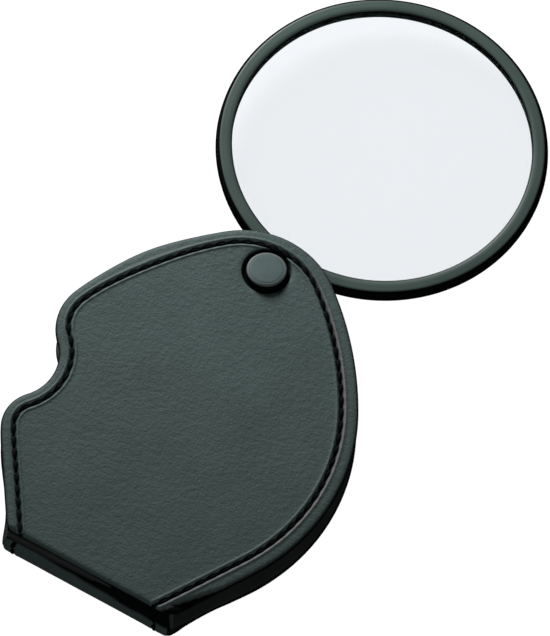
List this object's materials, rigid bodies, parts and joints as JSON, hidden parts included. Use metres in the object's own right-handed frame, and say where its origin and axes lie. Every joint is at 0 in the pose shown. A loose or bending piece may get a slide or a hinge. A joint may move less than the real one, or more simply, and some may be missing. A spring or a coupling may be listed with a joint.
{
  "type": "folding pocket magnifier",
  "caption": "Round magnifying lens in a slim ring that swings on a rivet out of a flat stitched leather case with a finger notch.",
  "frame": {"origin": "on the back face of the leather case, under the centre of the lens when it is stowed", "axes": "+Z out of the front panel, +Y from the folded spine to the rivet, +X away from the finger notch"},
  "size_m": [0.0703, 0.1433, 0.012],
  "materials": {
    "leather": "fine grain, satin, dark grey-green",
    "lining": "thin smooth lining, matte",
    "board": "plain grey board",
    "thread": "waxed black thread",
    "rivet_paint": "satin paint over steel",
    "steel": "bright zinc plate",
    "washer": "black nylon",
    "ring_plastic": "satin moulded, dark grey-green",
    "lens_glass": "polished, clear"
  },
  "bodies": {
    "case": {"leather_cover": "leather", "lining": "lining", "rear_board": "board", "front_board": "board", "seam_thread": "thread", "rivet_cap": "rivet_paint", "rivet_pin": "steel", "rivet_post": "rivet_paint", "rear_washer": "washer", "front_washer": "washer"},
    "lens_arm": {"lens_ring": "ring_plastic", "lens": "lens_glass", "retaining_ring": "ring_plastic"}
  },
  "joints": [
    {"name": "lens_swing", "type": "hinge", "parent": "case", "child": "lens_arm", "pos_m": [0, 0.0374, 0.0052], "axis": [0, 0, 1], "continuous": true}
  ]
}
